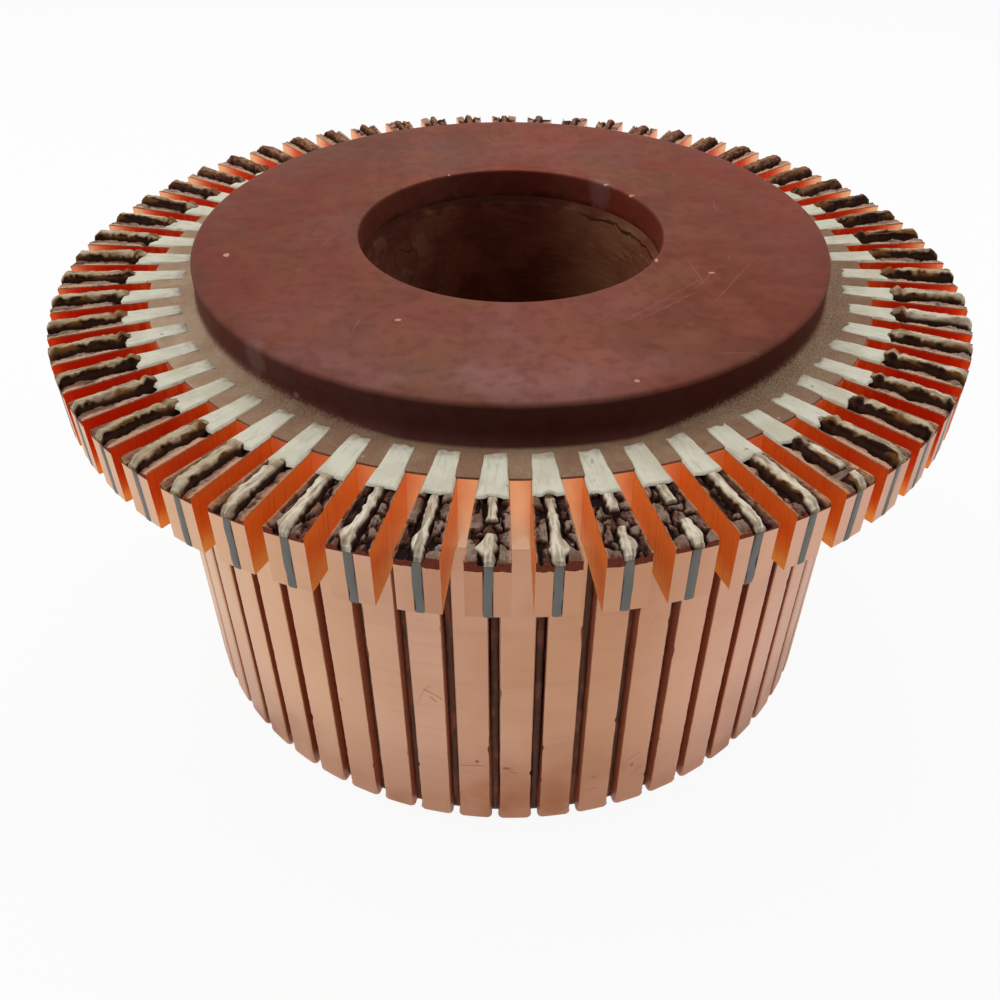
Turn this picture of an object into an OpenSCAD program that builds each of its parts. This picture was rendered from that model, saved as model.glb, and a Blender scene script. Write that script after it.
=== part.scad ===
// Moulded commutator with slotted risers, standing on its brush end with the axis along +Z.
// The origin is on the axis, at the free ends of the copper segments.

/* [Copper segments] */
// Number of segments round the commutator
bar_count = 57; // [36:1:57]
// Diameter over the outer ends of the risers
riser_d = 122; // [114:0.5:134]
// Diameter of the brush track
track_d = 100; // [96:0.5:106]
// Length of a segment along the axis
bar_length = 59.2; // [50:0.2:80]
// Thickness of a riser along the axis
riser_t = 6.8; // [4:0.1:12]
// Radial depth of a segment's body under the brush track
body_depth = 8; // [6:0.5:10]
// Radial depth of the dovetail foot under the body
foot_depth = 8; // [4:0.5:10]
// Length of the dovetail where it leaves the body
neck_length = 28; // [16:1:34]
// How far each end of the foot reaches past the neck
foot_flare = 6; // [2:0.5:8]
// Bevel round the free end of a segment
bar_bevel = 0.8; // [0.2:0.1:2]

/* [Lead slots] */
// Width of the slot sawn through each riser
slot_w = 2.2; // [1:0.1:3]
// Diameter of the slotting saw, which rounds the bed of the slot
saw_d = 63; // [50:1:100]
// How far the bed lies inside the brush track at the top
slot_inset = 1.2; // [0.4:0.1:3]

/* [Mica] */
// Thickness of a mica plate between two segments
mica_t = 0.9; // [0.5:0.1:1.4]
// Depth of the groove over a plate along the brush track
undercut = 1.2; // [0.4:0.1:3]
// How far a plate stops short of the free ends of the segments
mica_setback = 0.7; // [0.2:0.1:3]
// How far a plate's edge stands above the skin on the risers
blade_rise = 0.5; // [0.2:0.1:1.2]
// Gap between the foot of the boss and the flattened edge of a plate
strip_gap = 0.3; // [0.1:0.1:1.5]
// How far the flattened edge of a plate reaches outside the brush track
strip_reach = 2.2; // [0.3:0.1:3]
// Thickness of that flattened edge on the ring
strip_t = 0.2; // [0.1:0.1:0.5]

/* [Moulding] */
// Thickness of the resin skin over the risers
skin_t = 0.8; // [0.4:0.1:2]
// Diameter of the boss
boss_d = 85.2; // [80:0.2:90]
// Height of the boss above the skin
boss_h = 5; // [3:0.5:12]
// Radius of the hollow at the foot of the boss
foot_r = 1.5; // [0.5:0.1:2.5]
// Radius of the boss's upper edge
boss_edge = 0.6; // [0.2:0.1:1.5]
// How far the moulding stops short of the free ends of the segments
hub_setback = 1; // [0.2:0.1:4]

/* [Bush] */
// Diameter of the shaft bore
bore_d = 40; // [30:0.5:44]
// Wall of the bush
bush_wall = 4; // [2:0.5:6]
// Depth of the wider mouth in the resin over the bush
mouth_depth = 4; // [1:0.5:8]
// How far the mouth stands back from the shaft bore
mouth_step = 0.7; // [0.3:0.1:1.5]
// Bevel at both ends of the shaft bore
bore_bevel = 0.6; // [0.2:0.1:1.2]
// Width of the groove that locks the bush in the resin
grip_w = 8; // [3:0.5:14]
// Depth of that groove
grip_depth = 0.8; // [0.3:0.1:1.4]

/* [Hidden] */
$fn = 144;
// Overshoot of a cutting shape past the face that it opens
slack = 1;

function two_digits(k) = k < 10 ? str("0", k) : str(k);
segment_names = [for (i = [1:bar_count]) str("segment_", two_digits(i))];

pitch = 360 / bar_count;
riser_r = riser_d / 2;
track_r = track_d / 2;
riser_z = bar_length - riser_t;
skin_z = bar_length + skin_t;
blade_z = skin_z + blade_rise;
top_z = skin_z + boss_h;

body_r = track_r - body_depth;
dovetail_r = body_r - foot_depth;
neck_low = (bar_length - neck_length) / 2;
neck_high = neck_low + neck_length;

groove_r = track_r - undercut;
slot_bed_r = track_r - slot_inset;
boss_r = boss_d / 2;
boss_foot_r = boss_r + foot_r;
strip_in_r = boss_foot_r + strip_gap;
strip_out_r = track_r + strip_reach;
strip_z = skin_z + strip_t;

bore_r = bore_d / 2;
mouth_r = bore_r + mouth_step;
bush_r = bore_r + bush_wall;
grip_r = bush_r - grip_depth;
bush_low = hub_setback;
bush_high = top_z - mouth_depth;
grip_low = (bush_low + bush_high - grip_w) / 2;
grip_high = grip_low + grip_w;

// Half section of the dovetail foot, wider along the axis the deeper it lies
dovetail_points = [
    [body_r, neck_high],
    [dovetail_r, neck_high + foot_flare],
    [dovetail_r, neck_low - foot_flare],
    [body_r, neck_low]
];

// Half section of a segment, from its free end round the track, the riser and the foot
segment_points = concat([
    [body_r, 0],
    [track_r - bar_bevel, 0],
    [track_r, bar_bevel],
    [track_r, riser_z],
    [riser_r, riser_z],
    [riser_r, bar_length],
    [body_r, bar_length]
], dovetail_points);

// Half section of a mica plate up to the copper's upper face
plate_points = concat([
    [body_r, mica_setback],
    [groove_r, mica_setback],
    [groove_r, riser_z],
    [riser_r, riser_z],
    [riser_r, bar_length],
    [body_r, bar_length]
], dovetail_points);

// Half section of the bush, with both bore ends bevelled and the locking groove outside
bush_points = [
    [bore_r, bush_low + bore_bevel],
    [bore_r + bore_bevel, bush_low],
    [bush_r, bush_low],
    [bush_r, grip_low],
    [grip_r, grip_low],
    [grip_r, grip_high],
    [bush_r, grip_high],
    [bush_r, bush_high],
    [bore_r + bore_bevel, bush_high],
    [bore_r, bush_high - bore_bevel]
];

// One pitch of the circle facing -Y, less half of a parallel gap along each side
module sector(gap, low, high) {
    far = riser_r + slack;
    apex = gap / 2 / sin(pitch / 2);
    half_w = (far - apex) * tan(pitch / 2);
    translate([0, 0, low])
        linear_extrude(high - low)
            polygon([[0, -apex], [-half_w, -far], [half_w, -far]]);
}

// Rectangle of a half section between two radii and two heights
module band(r_in, r_out, low, high) {
    translate([r_in, low])
        square([r_out - r_in, high - low]);
}

// The saw's path through the riser that faces -Y
module saw_cut() {
    translate([0, -slot_bed_r - saw_d / 2, skin_z])
        rotate([0, 90, 0])
            cylinder(h = slot_w, d = saw_d, center = true);
}

// What lies in the plane of the plate that faces -Y, within the plate's thickness
module in_plate() {
    far = riser_r + slack;
    intersection() {
        children();
        translate([-mica_t / 2, -far, -slack])
            cube([mica_t, far, top_z + 2 * slack]);
    }
}

module segment(i) {
    color("#d8a284")
        rotate((i - 1) * pitch)
            difference() {
                intersection() {
                    rotate_extrude()
                        polygon(segment_points);
                    sector(mica_t, -slack, bar_length + slack);
                }
                saw_cut();
            }
}

// The edge of a plate pressed out flat between two neighbouring slots
module mica_strip() {
    intersection() {
        rotate_extrude()
            band(strip_in_r, strip_out_r, skin_z, strip_z);
        sector(slot_w, bar_length, strip_z + slack);
    }
}

// A plate with the blade that stands above the skin, and its flattened edge
module mica_plate() {
    in_plate()
        rotate_extrude() {
            polygon(plate_points);
            band(strip_in_r, strip_out_r, bar_length, strip_z);
            band(strip_out_r, riser_r, bar_length, blade_z);
        }
    mica_strip();
}

module mica_plates() {
    color("#cfd0bd")
        for (i = [1:bar_count])
            rotate((i - 0.5) * pitch)
                mica_plate();
}

// The gap that a blade leaves in the skin
module blade_gap() {
    in_plate()
        rotate_extrude()
            band(strip_in_r, riser_r + slack, bar_length, blade_z);
}

// Half section of the boss, with a round upper edge and a hollow foot
module boss_section() {
    difference() {
        band(bush_r, boss_foot_r, skin_z, top_z);
        band(boss_r, boss_foot_r + slack, skin_z + foot_r, top_z + slack);
        translate([boss_foot_r, skin_z + foot_r])
            circle(foot_r);
        difference() {
            band(boss_r - boss_edge, boss_r + slack, top_z - boss_edge, top_z + slack);
            translate([boss_r - boss_edge, top_z - boss_edge])
                circle(boss_edge);
        }
    }
}

// Half section of the whole moulding round the bush and the dovetail feet
module hub_section() {
    difference() {
        union() {
            band(bush_r, body_r, hub_setback, bar_length);
            band(bush_r, riser_r, bar_length, skin_z);
            band(grip_r, bush_r, grip_low, grip_high);
            band(mouth_r, bush_r, bush_high, top_z);
            boss_section();
        }
        polygon(dovetail_points);
    }
}

module moulded_hub() {
    color("#774a40")
        difference() {
            rotate_extrude()
                hub_section();
            for (i = [1:bar_count]) {
                rotate((i - 1) * pitch)
                    saw_cut();
                rotate((i - 0.5) * pitch)
                    blade_gap();
            }
        }
}

module bore_bush() {
    color("#6b5a4c")
        rotate_extrude()
            polygon(bush_points);
}

for (i = [1:bar_count]) {
    segment(i);
}
mica_plates();
moulded_hub();
bore_bush();
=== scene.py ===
import math
import bpy
import numpy as np
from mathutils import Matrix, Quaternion, Vector


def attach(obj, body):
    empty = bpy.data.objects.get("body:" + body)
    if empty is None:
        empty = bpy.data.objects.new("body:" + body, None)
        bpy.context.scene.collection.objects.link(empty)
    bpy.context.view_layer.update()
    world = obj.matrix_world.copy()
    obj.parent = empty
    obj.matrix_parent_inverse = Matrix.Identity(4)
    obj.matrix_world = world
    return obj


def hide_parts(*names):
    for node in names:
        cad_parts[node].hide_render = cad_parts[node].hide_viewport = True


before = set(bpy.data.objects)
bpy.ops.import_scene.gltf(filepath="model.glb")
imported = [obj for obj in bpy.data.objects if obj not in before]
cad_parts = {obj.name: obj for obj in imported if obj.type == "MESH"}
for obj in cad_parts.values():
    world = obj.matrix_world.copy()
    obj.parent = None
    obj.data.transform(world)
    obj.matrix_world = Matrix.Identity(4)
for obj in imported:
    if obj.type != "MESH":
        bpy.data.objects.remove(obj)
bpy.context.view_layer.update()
mm = 0.001  # shapes are worked out in millimetres and stored in metres
whole = 50  # a step longer than any run of an outline, which leaves the run uncut

ring = {
    "count": 57,  # segments, and as many mica plates between them
    "riserR": 61.0,  # outer ends of the risers
    "trackR": 50.0,  # brush track
    "bodyR": 42.0,  # inner face of a segment's body
    "footR": 34.0,  # inner face of its dovetail foot
    "neckLow": 15.6,
    "neckHigh": 43.6,
    "flare": 6.0,  # how far the foot reaches past its neck
    "riserUnder": 52.4,
    "barTop": 59.2,
    "skinTop": 60.0,
    "micaHalf": 0.45,  # half a plate's thickness
    "grooveR": 48.8,  # floor of the groove over a plate
    "slotHalf": 1.1,  # half the width of a lead slot
    "bedR": 48.8,  # inner end of a slot at the top
    "sawR": 31.5,  # the saw that rounded the slot's bed
    "bossTop": 65.0,  # upper face of the boss
}
pitch = 2 * math.pi / ring["count"]


def hash01(i, j, seed):
    # one fixed random number for each lattice point: the fraction of a large sine
    return np.modf(np.abs(np.sin(i * 127.1 + j * 311.7 + seed * 74.7) * 43758.5453))[0]


def noise(u, v, seed):
    # random values on a unit lattice, blended over each square with a smooth step, from 0 to 1
    i, j = np.floor(u), np.floor(v)
    a, b = u - i, v - j
    a, b = a * a * (3 - 2 * a), b * b * (3 - 2 * b)
    low = hash01(i, j, seed) * (1 - a) + hash01(i + 1, j, seed) * a
    high = hash01(i, j + 1, seed) * (1 - a) + hash01(i + 1, j + 1, seed) * a
    return low * (1 - b) + high * b


def waver(u, v, seed):
    # the same noise about zero, from -0.5 to 0.5
    return noise(u, v, seed) - 0.5


def smooth(low, high, value):
    # smooth step from 0 at low to 1 at high
    s = np.clip((value - low) / (high - low), 0, 1)
    return s * s * (3 - 2 * s)


def bell(value, middle, width):
    # 1 at the middle, falling off on both sides as the exponential of a square
    return np.exp(-((value - middle) / width) ** 2)


def softOutline(corners):
    # each corner is (r, z, round, step): a quadratic curve rounds it between two tangent points,
    # and the straight run to the next corner is cut into equal parts no longer than the step
    pts = np.array([c[:2] for c in corners], float)
    ahead = np.roll(pts, -1, axis=0) - pts
    ahead /= np.linalg.norm(ahead, axis=1)[:, None]
    cut = np.array([c[2] for c in corners])[:, None]
    enter, leave = pts - np.roll(ahead, 1, axis=0) * cut, pts + ahead * cut
    line = []
    for k, corner in enumerate(corners):
        s = np.linspace(0, 1, 5 if corner[2] else 1)[:, None]
        line.append((1 - s) ** 2 * enter[k] + 2 * s * (1 - s) * pts[k] + s ** 2 * leave[k])
        run = enter[(k + 1) % len(corners)] - leave[k]
        parts = max(1, math.ceil(np.linalg.norm(run) / corner[3]))
        line.append(leave[k] + np.arange(1, parts)[:, None] / parts * run)
    return np.concatenate(line)


def gridQuads(columns, rows, closed):
    # the four corners of each cell of a grid, columns running across and rows along
    k, i = np.meshgrid(np.arange(columns - 1), np.arange(rows if closed else rows - 1), indexing="ij")
    k, i = k.ravel(), i.ravel()
    j = (i + 1) % rows
    return np.stack([k * rows + i, (k + 1) * rows + i, (k + 1) * rows + j, k * rows + j], axis=1)


def lattice(*lines):
    # the plates' numbers, counted from 0, and the values of one or two lines, spread over a common grid
    return np.meshgrid(np.arange(ring["count"]), *lines, indexing="ij")


def copies(size, *cells):
    # the faces of all plates, from cells of the first; each plate has a block of points of one size
    shift = np.arange(ring["count"])[:, None, None] * size
    return [face for part in cells for face in (part + shift).reshape(-1, part.shape[1]).tolist()]


def placed(x, r, z, angle):
    # points at a radius and a height, a distance x across from the plane that stands at an angle from -Y
    y, c, s = -np.sqrt(r ** 2 - x ** 2), np.cos(angle), np.sin(angle)
    return np.stack([x * c - y * s, x * s + y * c, z], axis=-1)


def weld(points, quads, tags):
    # points that share a place become one, and cells that lose a side become triangles or go
    keys, index = np.unique(np.round(points, 5), axis=0, return_inverse=True)
    q = index.reshape(-1)[quads]
    keep = q != np.roll(q, -1, axis=1)
    sides = keep.sum(axis=1)
    tris = q[sides == 3][keep[sides == 3]].reshape(-1, 3)
    tags = np.concatenate([tags[sides == 4], tags[sides == 3]])
    return keys, q[sides == 4].tolist() + tris.tolist(), tags, index.reshape(-1)


def addObject(name, data):
    thing = bpy.data.objects.new(name, data)
    bpy.context.collection.objects.link(thing)
    return thing


def addPiece(name, points, faces, looks, nodes, faceLook=None, uv=None, tone=None, crease=40):
    mesh = bpy.data.meshes.new(name)
    mesh.from_pydata((points.reshape(-1, 3) * mm).tolist(), [], faces)
    for look in looks:
        mesh.materials.append(look)
    if faceLook is not None:
        mesh.polygons.foreach_set("material_index", np.asarray(faceLook, np.int32))
    if uv is not None:
        corner = np.empty(len(mesh.loops), np.int32)
        mesh.loops.foreach_get("vertex_index", corner)
        uv = uv.reshape(-1, 2)[corner].astype(np.float32)
        mesh.uv_layers.new(name="grain").data.foreach_set("uv", uv.ravel())
    if tone is not None:
        tone = np.asarray(tone, np.float32).ravel()
        mesh.attributes.new("tone", "FLOAT", "POINT").data.foreach_set("value", tone)
    mesh.polygons.foreach_set("use_smooth", np.ones(len(mesh.polygons), bool))
    mesh.set_sharp_from_angle(angle=math.radians(crease))
    mesh.update()
    piece = addObject(name, mesh)
    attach(piece, "root")
    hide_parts(*nodes)


class Value:
    # an output in a node tree: sums and products of such values become nodes
    def __init__(self, tree, socket):
        self.tree, self.socket = tree, socket

    __add__ = lambda a, b: maths("ADD", a, b)
    __radd__ = lambda a, b: maths("ADD", b, a)
    __sub__ = lambda a, b: maths("SUBTRACT", a, b)
    __rsub__ = lambda a, b: maths("SUBTRACT", b, a)
    __mul__ = lambda a, b: maths("MULTIPLY", a, b)
    __truediv__ = lambda a, b: maths("DIVIDE", a, b)
    __abs__ = lambda a: maths("ABSOLUTE", a)


def plug(tree, socket, given):
    # a link from another node, or a plain value on the socket itself
    if isinstance(given, Value):
        tree.links.new(given.socket, socket)
    else:
        socket.default_value = given


def put(tree, kind, inputs=(), **settings):
    # a new node, given back as its outputs by number and by name
    node = tree.nodes.new(kind)
    for key, given in settings.items():
        setattr(node, key, given)
    for key, given in dict(inputs).items():
        plug(tree, node.inputs[key], given)
    values = [Value(tree, socket) for socket in node.outputs]
    return dict(enumerate(values)) | {value.socket.name: value for value in values}


def maths(what, a, b=0.0, clamp=False):
    tree = (a if isinstance(a, Value) else b).tree
    return put(tree, "ShaderNodeMath", {0: a, 1: b}, operation=what, use_clamp=clamp)[0]


def most(first, *others):
    # the greatest of several masks
    for other in others:
        first = maths("MAXIMUM", first, other)
    return first


def ramp(value, low, high):
    # smooth step of a value from 0 at low to 1 at high, which may be the smaller one
    limits = {0: value, 1: low, 2: high}
    return put(value.tree, "ShaderNodeMapRange", limits, interpolation_type="SMOOTHSTEP")[0]


def linear(colour):
    # red, green and blue as a picture shows them, made linear
    s = np.array(colour) / 255
    return (*np.where(s > 0.04045, ((s + 0.055) / 1.055) ** 2.4, s / 12.92).tolist(), 1.0)


def blend(amount, under, over):
    # one colour over another by an amount from 0 to 1
    under, over = (c if isinstance(c, Value) else linear(c) for c in (under, over))
    return put(amount.tree, "ShaderNodeMix", {0: amount, 6: under, 7: over}, data_type="RGBA")[2]


def layers(colour, *coats):
    # a first colour under several others, each with its own mask
    for mask, coat in coats:
        colour = blend(mask, colour, coat)
    return colour


def vectors(what, a, b=(0, 0, 0)):
    return put(a.tree, "ShaderNodeVectorMath", {0: a, 1: b}, operation=what)


def noiseAt(place, scale, detail=2.0):
    return put(place.tree, "ShaderNodeTexNoise", {"Vector": place, "Scale": scale, "Detail": detail})


def shared(**usual):
    # makes a node group of a formula that looks at a place and has usual values for its other inputs;
    # a call of the formula then puts a copy of that group
    def build(formula):
        group = bpy.data.node_groups.new(formula.__name__, "ShaderNodeTree")
        for label, given in ({"Vector": (0, 0, 0)} | usual).items():
            kind = "NodeSocketVector" if isinstance(given, tuple) else "NodeSocketFloat"
            group.interface.new_socket(name=label, in_out="INPUT", socket_type=kind).default_value = given
        inputs = put(group, "NodeGroupInput")
        results = formula(*[inputs[label] for label in ("Vector", *usual)])
        end = group.nodes.new("NodeGroupOutput")
        for label, value in results.items():
            group.interface.new_socket(name=label, in_out="OUTPUT", socket_type="NodeSocketFloat")
            plug(group, end.inputs[label], value)
        return lambda *given: put(given[0].tree, "ShaderNodeGroup", dict(enumerate(given)), node_tree=group)
    return build


@shared()
def axisPlace(place):
    # distance from the axis, height above the floor and place to the right and rear, in millimetres
    scaled = vectors("MULTIPLY", place, [1 / mm] * 3)[0]
    radius = vectors("LENGTH", vectors("MULTIPLY", scaled, (1, 1, 0))[0])["Value"]
    split = put(place.tree, "ShaderNodeSeparateXYZ", {0: scaled})
    return {"Radius": radius, "Height": split["Z"], "X": split["X"], "Y": split["Y"]}


@shared(Scale=100.0, Low=0.4, High=0.6)
def blotches(place, scale, low, high):
    # soft patches: layered noise cut between two levels
    return {"Mask": ramp(noiseAt(place, scale, 5.0)[0], low, high)}


@shared(Scale=100.0, Stretch=(1, 1, 1))
def grain(place, scale, stretch):
    # fine lines: noise drawn out along one direction by the stretch
    return {"Value": noiseAt(vectors("MULTIPLY", place, stretch)[0], scale, 3.0)[0]}


@shared(Scale=300.0, Size=0.2, Share=0.2)
def specks(place, scale, size, share):
    # small spots: the middles of scattered cells, of which a share is kept
    shift = vectors("MULTIPLY", noiseAt(place, scale * 2.0)["Color"], [0.6 * mm] * 3)[0]
    moved = vectors("ADD", place, shift)[0]
    cells = put(place.tree, "ShaderNodeTexVoronoi", {"Vector": moved, "Scale": scale})
    pick = put(place.tree, "ShaderNodeSeparateColor", {0: cells["Color"]})
    size = size * (pick[1] + 0.4)
    return {"Mask": ramp(cells["Distance"], size, size * 0.5) * maths("LESS_THAN", pick[0], share)}


@shared(Scale=60.0, Width=0.004, Share=0.55, Stretch=(1, 1, 1))
def scratches(place, scale, width, share, stretch):
    # thin curved lines: where a smooth noise passes one level, broken up by a second noise
    off = abs(noiseAt(vectors("MULTIPLY", place, stretch)[0], scale, 1.0)[0] - 0.5)
    return {"Mask": ramp(off, width, 0.0) * ramp(noiseAt(place, scale * 1.7)[0], share, share + 0.05)}


@shared(Place=(0, 0, 0), Size=0.001, Stretch=(1, 1, 1))
def markAt(place, middle, size, stretch):
    # one spot round a given place, drawn out by the stretch, with an uneven rim
    off = vectors("MULTIPLY", vectors("SUBTRACT", place, middle)[0], stretch)[0]
    far = vectors("LENGTH", off)["Value"] * (0.5 + noiseAt(place, 1500.0)[0])
    return {"Mask": ramp(far, size, size * 0.4)}


@shared(Place=(0, 0, 0), Normal=(0, 0, 1), Reach=0.002, Width=0.0001)
def strokeAt(place, middle, normal, reach, width):
    # one thin line through a place: near a plane with the given normal, no farther off than the reach
    off = vectors("SUBTRACT", place, middle)[0]
    bend = (noiseAt(place, 600.0)[0] - 0.5) * (0.6 * mm)
    thin = ramp(abs(vectors("DOT_PRODUCT", off, normal)["Value"] + bend), width, 0.0)
    return {"Mask": thin * ramp(vectors("LENGTH", off)["Value"], reach, reach * 0.6)}


class Look:
    # a material: its shader, and where a point of it lies
    def __init__(self, name, metallic, specular):
        self.material = bpy.data.materials.new(name)
        self.material.use_nodes = True
        self.tree = self.material.node_tree
        self.link("Metallic", metallic)
        self.link("Specular IOR Level", specular)
        self.here = put(self.tree, "ShaderNodeTexCoord")["Object"]
        place = axisPlace(self.here)
        self.radius, self.height, self.x, self.y = (place[name] for name in ("Radius", "Height", "X", "Y"))

    def link(self, name, given):
        plug(self.tree, self.tree.nodes["Principled BSDF"].inputs[name], given)

    def use(self, effect, *inputs, where=None):
        return effect(where or self.here, *inputs)[0]

    def tone(self):
        return put(self.tree, "ShaderNodeAttribute", attribute_name="tone")["Fac"]

    def lug(self):
        # across and along on a lug, in millimetres
        return put(self.tree, "ShaderNodeUVMap", uv_map="grain")[0]

    def finish(self, colour, rough, height, strength, distance):
        self.link("Base Color", colour)
        self.link("Roughness", rough)
        relief = {"Height": height, "Strength": strength, "Distance": distance}
        self.link("Normal", put(self.tree, "ShaderNodeBump", relief)[0])
        return self.material


def material(metallic=0.0, specular=0.5):
    # makes a material of a recipe, under the recipe's name
    return lambda recipe: recipe(Look(recipe.__name__, metallic, specular))


def marks(look, places):
    # several spots as one mask; each is (place in millimetres, size in millimetres, stretch if it has one)
    return most(*[look.use(markAt, Vector(place) * mm, size * mm, *stretch) for place, size, *stretch in places])


def strokes(look, at, out, width, lines):
    # several thin lines as one mask; each runs between two places that at turns into points,
    # on a surface with the outward direction out
    masks = []
    for line in lines:
        start, end = Vector(at(*line[:2])) * mm, Vector(at(*line[2:])) * mm
        normal = (end - start).cross(out(start)).normalized()
        masks.append(look.use(strokeAt, (start + end) / 2, normal, (end - start).length * 0.6, width * mm))
    return most(*masks)


def onTrack(degrees, height):
    # a point of the brush track, by its angle from the front and its height
    a = math.radians(degrees)
    return ring["trackR"] * math.sin(a), -ring["trackR"] * math.cos(a), height


def onBoss(x, y):
    # a point of the boss's upper face
    return x, y, ring["bossTop"]


@material(metallic=1.0)
def turnedCopper(look):
    # pale turned copper: fine lines round the axis, stains and spots, painted light that makes it lighter to the
    # left and pinker to the right, darker towards the bottom from tarnish and a painted reflection of the floor's
    # shadow, and grooves painted brown and not metallic, with paler copper walls towards the front
    tone = look.tone()
    lines = look.use(grain, 3000, (0.05, 0.05, 1))
    stain = look.use(blotches, 70, 0.45, 0.75)
    warm = look.use(blotches, 25, 0.4, 0.65)
    spots = look.use(specks, 140, 0.14, 0.04)
    lightMarks = look.use(scratches, 60, 0.003, 0.62)
    dents = marks(look, [
        (onTrack(-5.8, 13.4), 0.4), (onTrack(-1.4, 12.1), 0.5, (0.7, 1, 1.5)),
        (onTrack(12.2, 8.2), 0.4, (0.6, 1, 2)), (onTrack(18.6, 9.0), 0.35, (1, 1, 0.7)),
        (onTrack(-27, 20), 0.3), (onTrack(33, 24), 0.3)])
    scored = strokes(look, onTrack, lambda p: Vector((p.x, p.y, 0)), 0.13, [
        (-13.3, 26.9, -10.5, 25.4), (-12.4, 25.6, -11.4, 24.8), (-1.9, 12.4, -0.3, 11.9),
        (-1.1, 11.6, 0.1, 10.9), (11.6, 5.2, 13.0, 5.9), (6.2, 0.9, 8.4, 2.4),
        (17.6, 10.4, 19.8, 11.3), (18.6, 6.6, 20.2, 8.0), (-8.6, 12.3, -4.4, 12.6)])
    turns = look.use(grain, 420, (0.02, 0.02, 1))
    fineTurns = look.use(grain, 900, (0.12, 0.12, 1))
    # painted light: the bars lighter to the left and pinker to the right
    paintedLightLeft = ramp(look.x, -10, -34)
    paintedLightRight = ramp(look.x, 10, 30) * 0.55
    # darker and more orange towards the bottom: partly tarnish, partly a painted reflection of the floor's shadow
    # near the base
    low = ramp(look.height, 22, 0)
    # the grooves painted brown and not metallic, their walls paler copper towards the front
    inGroove = ramp(look.radius, 49.88, 49.6) * ramp(look.height, 0.7, 1.5)
    front = ramp(look.y, -40, -47.5)
    wall = blend(front, blend(stain, (168, 78, 42), (124, 54, 28)), blend(lines, (168, 86, 56), (222, 140, 104)))
    colour = layers(
        blend(warm, (202, 158, 132), (192, 142, 110)),
        (tone * 0.42, (182, 128, 98)),
        (stain * 0.3, (168, 114, 84)),
        (lightMarks * 0.35, (146, 94, 68)),
        (spots * 0.75, (84, 48, 32)),
        (most(dents, scored) * 0.75, (92, 52, 34)),
        (ramp(turns, 0.5, 0.75) * 0.1, (150, 98, 72)),
        (ramp(fineTurns, 0.5, 0.8) * 0.12, (160, 106, 78)),
        (paintedLightLeft * 0.5, (240, 196, 156)),
        (paintedLightRight, (222, 172, 146)),
        (ramp(look.x, 36, 47) * 0.6, (174, 126, 102)),
        (low * (0.55 + stain * 0.4), (150, 90, 56)),
        (inGroove, wall),
    )
    look.link("Metallic", 1 - inGroove)
    rough = 0.36 + (stain + lines) * 0.09
    return look.finish(colour, rough, lines + lightMarks * -0.6, 0.25, 0.06 * mm)


@material(metallic=0.88)
def sawnCopper(look):
    # fresh copper in the slots: deep orange walls with arcs left by the saw, painted light making them red at the
    # sides, pale orange at the front and paler at the outer end of the rear slots, and a bed that pales downwards
    across = look.radius - (ring["bedR"] + ring["sawR"])
    above = look.height - ring["skinTop"]
    reach = maths("SQRT", across * across + above * above)
    arcs = put(look.tree, "ShaderNodeTexNoise", {"W": reach, "Scale": 2.2, "Detail": 4.0}, noise_dimensions="1D")[0]
    stain = look.use(blotches, 220, 0.45, 0.7)
    facing = look.y * -1.0 / look.radius
    # painted light: walls red at the sides and pale orange at the front for light bounced between the copper walls,
    # and paler at the outer end of the rear slots as a painted reflection
    front, rear = ramp(facing, 0.6, 0.97), ramp(facing, 0.3, -0.35)
    upright = look.use(grain, 1100, (1, 1, 0.12))
    inside = ramp(look.radius, 54.5, 49) * (0.3 + ramp(upright, 0.4, 0.65))
    outside = ramp(look.radius, 55.5, 60.5)
    deep = outside * ramp(look.height, 58, 53)
    wall = layers(
        blend(front, blend(stain, (236, 88, 26), (224, 70, 20)), blend(stain, (255, 184, 90), (252, 164, 72))),
        (ramp(arcs, 0.45, 0.75) * 0.35, (214, 78, 22)),
        (inside * 0.6, (255, 172, 88)),
        (deep * 0.6, (238, 146, 62)),
        (outside * rear * 0.85, (246, 186, 136)),
    )
    pale = ramp(look.height, 57, 51.4)
    smudge = ramp(look.height, 54, 52.4) * stain
    bed = layers(
        blend(stain, (255, 206, 158), (250, 190, 140)),
        (pale * 0.85, (216, 172, 144)),
        (smudge * 0.5, (150, 100, 70)),
    )
    colour = blend(ramp(reach, ring["sawR"] - 0.25, ring["sawR"] - 0.05), wall, bed)
    rough = 0.28 + arcs * 0.2
    return look.finish(colour, rough, arcs, 0.3, 0.1 * mm)


@material(specular=0.3)
def micaEdge(look):
    # cut edges of the plates: dark in the grooves, grey on the riser ends, pale at the free ends
    patch = look.use(blotches, 260, 0.35, 0.7)
    plies = look.use(grain, 1500, (1, 1, 0.15))
    dark = blend(patch, (90, 54, 36), (114, 76, 52))
    flecks = look.use(grain, 700, (1, 1, 0.3))
    dark = blend(ramp(flecks, 0.5, 0.62) * 0.6, dark, (164, 98, 70))
    grey = blend(plies, (116, 116, 112), (146, 144, 138))
    colour = blend(ramp(look.radius, 49.6, 50.2), dark, grey)
    colour = blend(ramp(look.height, 1.3, 0.75), colour, (150, 146, 136))
    rough = 0.55 + patch * 0.2
    return look.finish(colour, rough, plies, 0.4, 0.08 * mm)


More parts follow.
